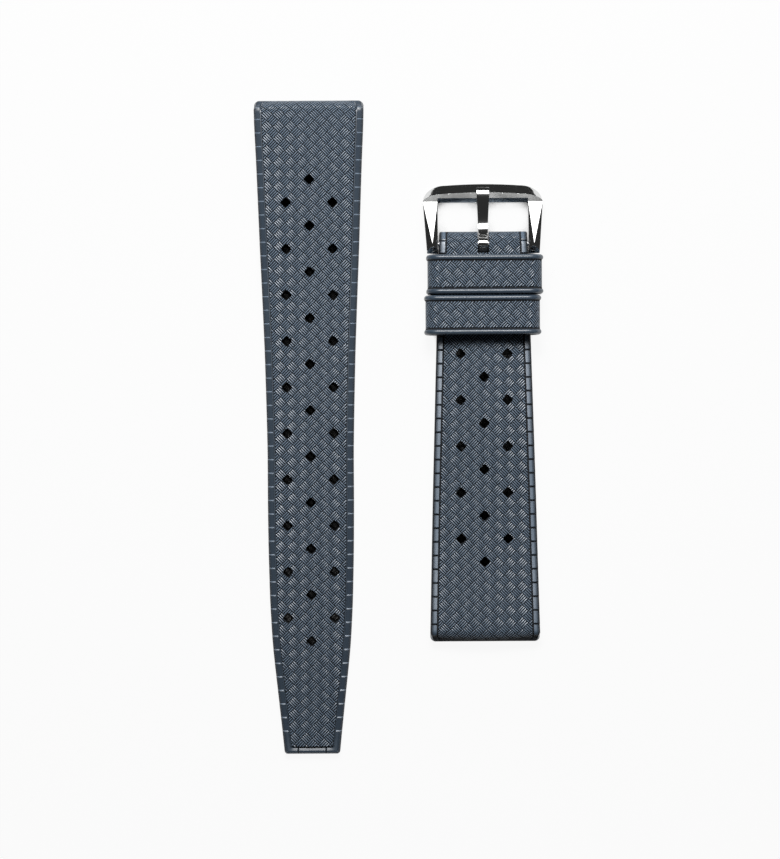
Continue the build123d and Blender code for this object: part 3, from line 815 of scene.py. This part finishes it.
def buildKeeper(node, settings, name, material):
    f = keeperForm
    low, high = (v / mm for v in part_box(node))
    middle = (low + high) / 2
    ring = {"halfX": (high.x - low.x) / 2 - f["beadRadius"] + f["beadSink"],
            "halfZ": (high.z - low.z) / 2 - f["beadRadius"] + f["beadSink"]}
    r = f["cornerRadius"]
    flat, side, arc = ring["halfX"] - r, 2 * (ring["halfZ"] - r), r * math.pi / 2
    stops = [0, flat, flat + arc, flat + arc + side, flat + 2 * arc + side,
             2 * flat + 2 * arc + side]
    half = [0.0]
    for k, (start, end) in enumerate(zip(stops, stops[1:])):
        steps = f["cornerSteps"] if k % 2 else max(2, round((end - start) / f["straightStep"]))
        half += list(np.linspace(start, end, steps + 1))[1:]
    around = np.array([-a for a in half[:0:-1]] + half)
    pattern = {"x": settings["patternX"], "t": settings["patternY"], "rising": True}

    def clear(a, y):
        return np.minimum(f["weaveHalf"] - np.abs(y), f["weaveReach"] - np.abs(a))

    widths = (-f["bandHalf"], -f["weaveHalf"], f["weaveHalf"], f["bandHalf"])
    lines = [polyline([(a, y) for a in around]) for y in widths]
    plain = [a for a in around if abs(a) > f["weaveReach"] + f["weaveGap"]]
    lines += [polyline([(a, y) for y in widths]) for a in plain]
    lines.append(weaveLines(pattern, (-f["weaveReach"], f["weaveReach"]), widths[1:3], clear))
    points, faces = triangulate(np.concatenate(lines), lambda a, y: np.abs(y) < f["bandHalf"])
    a, y = points.T
    share = smoothStep((f["weaveReach"] - np.abs(a)) / f["weaveFade"])
    relief, tone = weaveSkin(pattern, a, y)
    # beside the weave the band's margin gets a painted shade
    beside = np.abs(y) > f["weaveHalf"] - meshing["hair"]
    depth = np.where(beside, weave["low"], relief) * share
    tone = 1 + (np.where(beside, 0, tone) - 1) * share
    creaseShade = np.abs(y) > f["bandHalf"] - meshing["hair"]
    depth, tone = np.where(creaseShade, 0, depth), np.where(creaseShade, f["creasePaintedShade"], tone)

    def world(a, y, n):
        x, z = loopPoint(ring, a, n)
        return np.stack([middle.x + x, middle.y + y + 0 * x, middle.z + z], 1)

    shell = Shell()
    shell.add(world(a, y, -depth), faces, tone)
    middleY, bead = f["beadMiddle"], f["beadRadius"]
    rim = [(middleY + bead * math.cos(v), bead * math.sin(v) - f["beadSink"])
           for v in np.radians(np.linspace(*f["beadTurns"], f["beadSteps"]))]
    rim[0] = (f["bandHalf"], 0.0)
    rim += [(middleY, -f["wall"])]
    section = rim + [(-y, n) for y, n in reversed(rim)]
    rows = np.concatenate([world(around, y, n) for y, n in section])
    count = len(around)
    # the rows at both creases get a painted shade
    tones = [f["creasePaintedShade"], *[1] * (len(section) - 2), f["creasePaintedShade"]]
    corners = [i * count + k for i in range(len(section) - 1) for k in range(count - 1)]
    quads = [(c, c + 1, c + count + 1, c + count) for c in corners]
    shell.add(rows, quads, np.repeat(tones, count))
    piece = shell.build(name, material)
    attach(piece, node)
    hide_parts(node)
    return piece


# Coil spring inside the buckle's bar, in two halves

coil = {"wire": 0.09, "turns": 9, "perTurn": 16, "around": 6}


def buildCoil(side, name, material):
    low, high = (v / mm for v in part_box("spring_bar_spring"))
    middle = (low + high) / 2
    length = (high.x - low.x) / 2 - coil["wire"]
    radius = (high.z - low.z) / 2 - coil["wire"]
    steps = coil["turns"] * coil["perTurn"]
    points = []
    for k in range(steps + 1):
        turn = 2 * math.pi * k / coil["perTurn"]
        for j in range(coil["around"]):
            bend = 2 * math.pi * j / coil["around"]
            reach = radius + coil["wire"] * math.cos(bend)
            x = middle.x + side * (length * k / steps) + coil["wire"] * math.sin(bend)
            y, z = middle.y + side * reach * math.sin(turn), middle.z + reach * math.cos(turn)
            points.append((x, y, z))
    n = coil["around"]
    faces = [(k * n + j, k * n + (j + 1) % n, (k + 1) * n + (j + 1) % n, (k + 1) * n + j)
             for k in range(steps) for j in range(n)]
    faces += [tuple(range(n)), tuple(range(steps * n, (steps + 1) * n))]
    shell = Shell()
    shell.add(points, faces)
    piece = shell.build(name, material)
    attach(piece, "short_half")
    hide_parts("spring_bar_spring")
    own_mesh(piece)
    return piece


# Finishes

rubber = {
    "color": (0.054, 0.076, 0.112), "paler": (0.060, 0.090, 0.120),
    "patchScale": 90, "patchDetail": 4,
    "roughness": (0.27, 0.41), "specular": 0.9,             # from plain to paler patches
    # creaseShade paints shade in creases, grooves and hollows; ridgeHighlight paints a highlight on
    # raised ribs and lit edges; the dust specks lie on the rubber
    "creaseShade": (0.004, 0.007, 0.013), "creaseRoughness": 0.85, "creaseReach": (0.55, 0.95),
    "ridgeHighlight": (0.21, 0.285, 0.38), "ridgeReach": (0.95, 1.4),
    "grainScale": 5200, "grainDepth": 0.006,
    "dust": (0.30, 0.33, 0.36), "dustScale": 2600, "dustShare": 0.10, "dustCover": 0.35,
}
steel = {
    "color": (0.74, 0.745, 0.74), "roughness": 0.07, "smudgeScale": 260, "smudge": 0.1,
    "scratchScale": 900, "scratchDepth": 0.0006,
    "bevel": {"buckle_frame": 0.1, "buckle_tang": 0.2},
    "bevelSteps": 4, "bevelFrom": 18, "weld": 0.002,
}
drawnSteel = {"color": (0.55, 0.55, 0.56), "roughness": 0.32, "smudgeScale": 700, "smudge": 0.2,
              "scratchScale": 2400, "scratchDepth": 0.004}


def feed(tree, node, inputs):
    # each input gets a value, or the output that feeds it
    for key, value in inputs.items():
        if isinstance(value, bpy.types.NodeSocket):
            tree.links.new(value, node.inputs[key])
        else:
            node.inputs[key].default_value = value


def addNode(tree, kind, inputs={}, **settings):
    node = tree.nodes.new(kind)
    for key, value in settings.items():
        setattr(node, key, value)
    feed(tree, node, inputs)
    return node


def newGroup(name, inputs, outputs):
    # sockets are numbers, except those that are named as colors
    group = bpy.data.node_groups.new(name, "ShaderNodeTree")
    for side, labels in (("INPUT", inputs), ("OUTPUT", outputs)):
        for label in labels:
            kind = "NodeSocketColor" if "Color" in label else "NodeSocketFloat"
            group.interface.new_socket(label, in_out=side, socket_type=kind)
    return group, group.nodes.new("NodeGroupInput").outputs, group.nodes.new("NodeGroupOutput")


grainForm = {
    "fineDetail": 2, "speckDetail": 4, "speckRoughness": 0.7,
    "speckFrom": 0.75, "speckEdge": 0.16,           # noise from which specks rise, and how softly
}


def makeGrain():
    # fine moulded grain: a height, and a mask of pale specks
    f = grainForm
    group, given, end = newGroup(
        "moulded grain", ("Scale", "Speck Scale", "Speck Share"), ("Height", "Specks"))
    spot = addNode(group, "ShaderNodeTexCoord").outputs["Object"]
    fine = addNode(group, "ShaderNodeTexNoise", {
        "Vector": spot, "Scale": given["Scale"], "Detail": f["fineDetail"]})
    coarse = addNode(group, "ShaderNodeTexNoise", {
        "Vector": spot, "Scale": given["Speck Scale"],
        "Detail": f["speckDetail"], "Roughness": f["speckRoughness"]})
    low = addNode(group, "ShaderNodeMath", {
        0: f["speckFrom"], 1: given["Speck Share"]}, operation="SUBTRACT")
    high = addNode(group, "ShaderNodeMath", {
        0: low.outputs[0], 1: f["speckEdge"]}, operation="ADD")
    specks = addNode(group, "ShaderNodeMapRange", {
        "Value": coarse.outputs["Fac"], "From Min": low.outputs[0], "From Max": high.outputs[0]})
    feed(group, end, {"Height": fine.outputs["Fac"], "Specks": specks.outputs["Result"]})
    return group


def makeReliefShading():
    # rubber coloured by its relief: a painted shade, dark and dull, in creases, dusty specks, and a
    # painted highlight, pale, on ridges
    group, given, end = newGroup("relief shade and highlight", (
        "Plain Color", "Paler Color", "Dust Color", "Crease Color", "Ridge Color",
        "Patch Scale", "Patch Detail", "Smooth", "Rough", "Crease Roughness", "Specks",
        "Dust Cover", "Crease Start", "Crease End", "Ridge Start", "Ridge End"),
        ("Color", "Roughness"))
    relief = addNode(group, "ShaderNodeAttribute", attribute_name="relief").outputs["Fac"]
    spot = addNode(group, "ShaderNodeTexCoord").outputs["Object"]
    patches = addNode(group, "ShaderNodeTexNoise", {
        "Vector": spot, "Scale": given["Patch Scale"],
        "Detail": given["Patch Detail"]}).outputs["Fac"]
    dusty = addNode(group, "ShaderNodeMath", {
        0: given["Specks"], 1: given["Dust Cover"]}, operation="MULTIPLY").outputs[0]

    def above(name):
        return addNode(group, "ShaderNodeMapRange", {
            "Value": relief, "From Min": given[name + " Start"], "From Max": given[name + " End"]},
            interpolation_type="SMOOTHSTEP").outputs["Result"]

    def mix(share, first, second, kind="RGBA"):
        return addNode(group, "ShaderNodeMix", {
            "Factor": share, "A": first, "B": second}, data_type=kind).outputs["Result"]

    aboveCrease = above("Crease")
    color = mix(patches, given["Plain Color"], given["Paler Color"])
    color = mix(dusty, color, given["Dust Color"])
    color = mix(aboveCrease, given["Crease Color"], color)
    color = mix(above("Ridge"), color, given["Ridge Color"])
    dull = addNode(group, "ShaderNodeMapRange", {
        "Value": patches, "To Min": given["Smooth"], "To Max": given["Rough"]}).outputs["Result"]
    feed(group, end, {
        "Color": color, "Roughness": mix(aboveCrease, given["Crease Roughness"], dull, "FLOAT")})
    return group


markForm = {
    "smudgeDetail": 5, "smudgeRoughness": 0.65,
    "scratchDetail": 3, "scratchStretch": (0.05, 1, 1), "scratchTurn": (0, 0, 0.5),
}


def makeHandling():
    # smudges and hairline scratches on metal
    f = markForm
    group, given, end = newGroup(
        "handling marks", ("Roughness", "Smudge", "Smudge Scale", "Scratch Scale"),
        ("Roughness", "Height"))
    spot = addNode(group, "ShaderNodeTexCoord").outputs["Object"]
    smudge = addNode(group, "ShaderNodeTexNoise", {
        "Vector": spot, "Scale": given["Smudge Scale"],
        "Detail": f["smudgeDetail"], "Roughness": f["smudgeRoughness"]})
    scaled = addNode(group, "ShaderNodeMath", {
        0: smudge.outputs["Fac"], 1: given["Smudge"]}, operation="MULTIPLY")
    summed = addNode(group, "ShaderNodeMath", {
        0: scaled.outputs[0], 1: given["Roughness"]}, operation="ADD")
    stretched = addNode(group, "ShaderNodeMapping", {
        "Vector": spot, "Scale": f["scratchStretch"], "Rotation": f["scratchTurn"]})
    scratch = addNode(group, "ShaderNodeTexNoise", {
        "Vector": stretched.outputs["Vector"], "Scale": given["Scratch Scale"],
        "Detail": f["scratchDetail"]})
    feed(group, end, {"Roughness": summed.outputs[0], "Height": scratch.outputs["Fac"]})
    return group


def newMaterial(name):
    material = bpy.data.materials.new(name)
    material.use_nodes = True
    tree = material.node_tree
    return material, tree, tree.nodes["Principled BSDF"]


def makeRubber(name, settings, grain, reliefShading):
    s, (material, tree, shader) = settings, newMaterial(name)
    colors = {"Plain": "color", "Paler": "paler", "Dust": "dust",
              "Crease": "creaseShade", "Ridge": "ridgeHighlight"}
    marks = addNode(tree, "ShaderNodeGroup", {
        "Scale": s["grainScale"], "Speck Scale": s["dustScale"],
        "Speck Share": s["dustShare"]}, node_tree=grain)
    reliefLight = addNode(tree, "ShaderNodeGroup", {
        **{label + " Color": (*s[key], 1) for label, key in colors.items()},
        "Patch Scale": s["patchScale"], "Patch Detail": s["patchDetail"],
        "Smooth": s["roughness"][0], "Rough": s["roughness"][1],
        "Crease Roughness": s["creaseRoughness"],
        "Specks": marks.outputs["Specks"], "Dust Cover": s["dustCover"],
        "Crease Start": s["creaseReach"][0], "Crease End": s["creaseReach"][1],
        "Ridge Start": s["ridgeReach"][0], "Ridge End": s["ridgeReach"][1]}, node_tree=reliefShading)
    bump = addNode(tree, "ShaderNodeBump", {
        "Strength": 1.0, "Distance": s["grainDepth"] * mm, "Height": marks.outputs["Height"]})
    feed(tree, shader, {
        "Specular IOR Level": s["specular"], "Base Color": reliefLight.outputs["Color"],
        "Roughness": reliefLight.outputs["Roughness"], "Normal": bump.outputs["Normal"]})
    return material


def makeSteel(name, settings, handling):
    s, (material, tree, shader) = settings, newMaterial(name)
    marks = addNode(tree, "ShaderNodeGroup", {
        "Roughness": s["roughness"], "Smudge": s["smudge"],
        "Smudge Scale": s["smudgeScale"], "Scratch Scale": s["scratchScale"]}, node_tree=handling)
    bump = addNode(tree, "ShaderNodeBump", {
        "Strength": 1.0, "Distance": s["scratchDepth"] * mm, "Height": marks.outputs["Height"]})
    feed(tree, shader, {
        "Base Color": (*s["color"], 1), "Metallic": 1,
        "Roughness": marks.outputs["Roughness"], "Normal": bump.outputs["Normal"]})
    return material


def dressSteel(node, material):
    piece = frame["nodes"][node]
    if not piece.material_slots:
        piece.data.materials.append(material)
    for holder in piece.material_slots:
        holder.material = material
    if node in steel["bevel"]:
        weld = piece.modifiers.new("weld", "WELD")
        weld.merge_threshold = steel["weld"] * mm
        edge = piece.modifiers.new("edge", "BEVEL")
        edge.width, edge.segments = steel["bevel"][node] * mm, steel["bevelSteps"]
        edge.limit_method, edge.angle_limit = "ANGLE", math.radians(steel["bevelFrom"])
        edge.harden_normals = True


grain, reliefShading, handling = makeGrain(), makeReliefShading(), makeHandling()
strapRubber = makeRubber("strap rubber", rubber, grain, reliefShading)
keeperRubber = makeRubber("keeper rubber", rubber, grain, reliefShading)
polished = makeSteel("polished steel", steel, handling)
drawn = makeSteel("drawn steel", drawnSteel, handling)
print("finishes made")

buildStrap(longStrap, "long_strap_skin", strapRubber)
buildStrap(shortStrap, "short_strap_skin", strapRubber)
for node, settings in keepers.items():
    buildKeeper(node, settings, node + "_skin", keeperRubber)

joints = {joint["name"]: joint for joint in frame["record"]["behaviour"]["joints"]}
low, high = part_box("spring_bar_spring")
coil["keep"] = 1 - joints["left_pin_press"]["range_m"][1] / ((high.x - low.x) / 2)
for side, name in ((-1, "coil_left"), (1, "coil_right")):
    buildCoil(side, name, drawn)

for node in ("buckle_frame", "buckle_tang"):
    dressSteel(node, polished)
for node in ("spring_bar_tube", "spring_bar_pin_left", "spring_bar_pin_right"):
    dressSteel(node, drawn)
print("steel dressed")


# Table, light and camera

look = {
    "middle": (-1.77, -0.45), "tall": 156.2, "lens": 135, "roll": -0.33, "subjectHeight": 3.0,
    "clip": (0.01, 20),                             # metres
    "floorSize": 3000, "floorHold": 0.92, "floorColor": 0.92, "floorRoughness": 0.9,
    "contact": 14, "openSky": (0.18, 0.34),         # reach of the painted contact shadow, and its ends
    "lampAim": (0, 0, 0), "lampFade": (0.8, 0.62),
    "softbox": {"at": (0, 188, 353), "size": (340, 300), "power": 1.05},
    "bulb": {"at": (-2, 190, 345), "size": (125, 125), "power": 0.95},
    "world": 0.03,
}


def makeFloor():
    # white to the camera and to mirrors, with a painted shadow that darkens its colour and glow
    # where the object stands close
    half = look["floorSize"] / 2 * mm
    mesh = bpy.data.meshes.new("table_top")
    corners = [(sx * half, sy * half, 0) for sx, sy in ((-1, -1), (1, -1), (1, 1), (-1, 1))]
    mesh.from_pydata(corners, [], [(0, 1, 2, 3)])
    top = bpy.data.objects.new("table_top", mesh)
    bpy.context.scene.collection.objects.link(top)
    material, tree, shader = newMaterial("white table")
    near = addNode(tree, "ShaderNodeAmbientOcclusion", {"Distance": look["contact"] * mm})
    shadowed, lit = look["openSky"]
    clear = addNode(tree, "ShaderNodeMapRange", {
        "Value": near.outputs["AO"], "From Min": shadowed, "From Max": lit}).outputs["Result"]
    white, shade = (addNode(tree, "ShaderNodeMath", {0: clear, 1: look[key]}, operation="MULTIPLY")
                    for key in ("floorColor", "floorHold"))
    feed(tree, shader, {"Base Color": white.outputs[0], "Roughness": look["floorRoughness"]})
    ray = addNode(tree, "ShaderNodeLightPath").outputs
    seen = addNode(tree, "ShaderNodeMath", {
        0: ray["Is Camera Ray"], 1: ray["Is Glossy Ray"]}, operation="MAXIMUM")
    hold = addNode(tree, "ShaderNodeMath", {
        0: seen.outputs[0], 1: shade.outputs[0]}, operation="MULTIPLY")
    glow = addNode(tree, "ShaderNodeEmission", {"Strength": 1.0})
    mix = addNode(tree, "ShaderNodeMixShader", {
        "Fac": hold.outputs[0], 1: shader.outputs[0], 2: glow.outputs[0]})
    feed(tree, tree.nodes["Material Output"], {"Surface": mix.outputs[0]})
    mesh.materials.append(material)


def makeLamp(name):
    # fades towards its upper edge
    light = bpy.data.lights.new(name, "AREA")
    light.shape = "RECTANGLE"
    light.size, light.size_y = (v * mm for v in look[name]["size"])
    light.energy = look[name]["power"]
    light.use_nodes = True
    tree = light.node_tree
    across = addNode(tree, "ShaderNodeNewGeometry")
    parts = addNode(tree, "ShaderNodeSeparateXYZ", {0: across.outputs["Parametric"]})
    dark, bright = look["lampFade"]
    fade = addNode(tree, "ShaderNodeMapRange", {
        "Value": parts.outputs["Y"], "From Min": dark, "From Max": bright},
        interpolation_type="SMOOTHSTEP")
    feed(tree, tree.nodes["Emission"], {"Strength": fade.outputs["Result"]})
    lamp = bpy.data.objects.new(name, light)
    lamp.location = [v * mm for v in look[name]["at"]]
    toAim = Vector(look["lampAim"]) - lamp.location
    lamp.rotation_euler = toAim.to_track_quat("-Z", "Y").to_euler()
    bpy.context.scene.collection.objects.link(lamp)


def makeCamera():
    eye = bpy.data.cameras.new("camera")
    eye.lens = look["lens"]
    camera = bpy.data.objects.new("camera", eye)
    high = look["tall"] * eye.lens / eye.sensor_width + look["subjectHeight"]
    camera.location = (look["middle"][0] * mm, look["middle"][1] * mm, high * mm)
    camera.rotation_euler = Euler((0, 0, math.radians(look["roll"])))
    eye.clip_start, eye.clip_end = look["clip"]
    bpy.context.scene.collection.objects.link(camera)
    bpy.context.scene.camera = camera


def makeRoom():
    world = bpy.data.worlds.new("room")
    bpy.context.scene.world = world
    world.use_nodes = True
    tree = world.node_tree
    feed(tree, tree.nodes["Background"], {"Color": (1, 1, 1, 1), "Strength": look["world"]})


makeFloor()
makeLamp("softbox")
makeLamp("bulb")
makeCamera()
makeRoom()
bpy.context.scene.view_settings.view_transform = "Standard"
print("table, light and camera set")
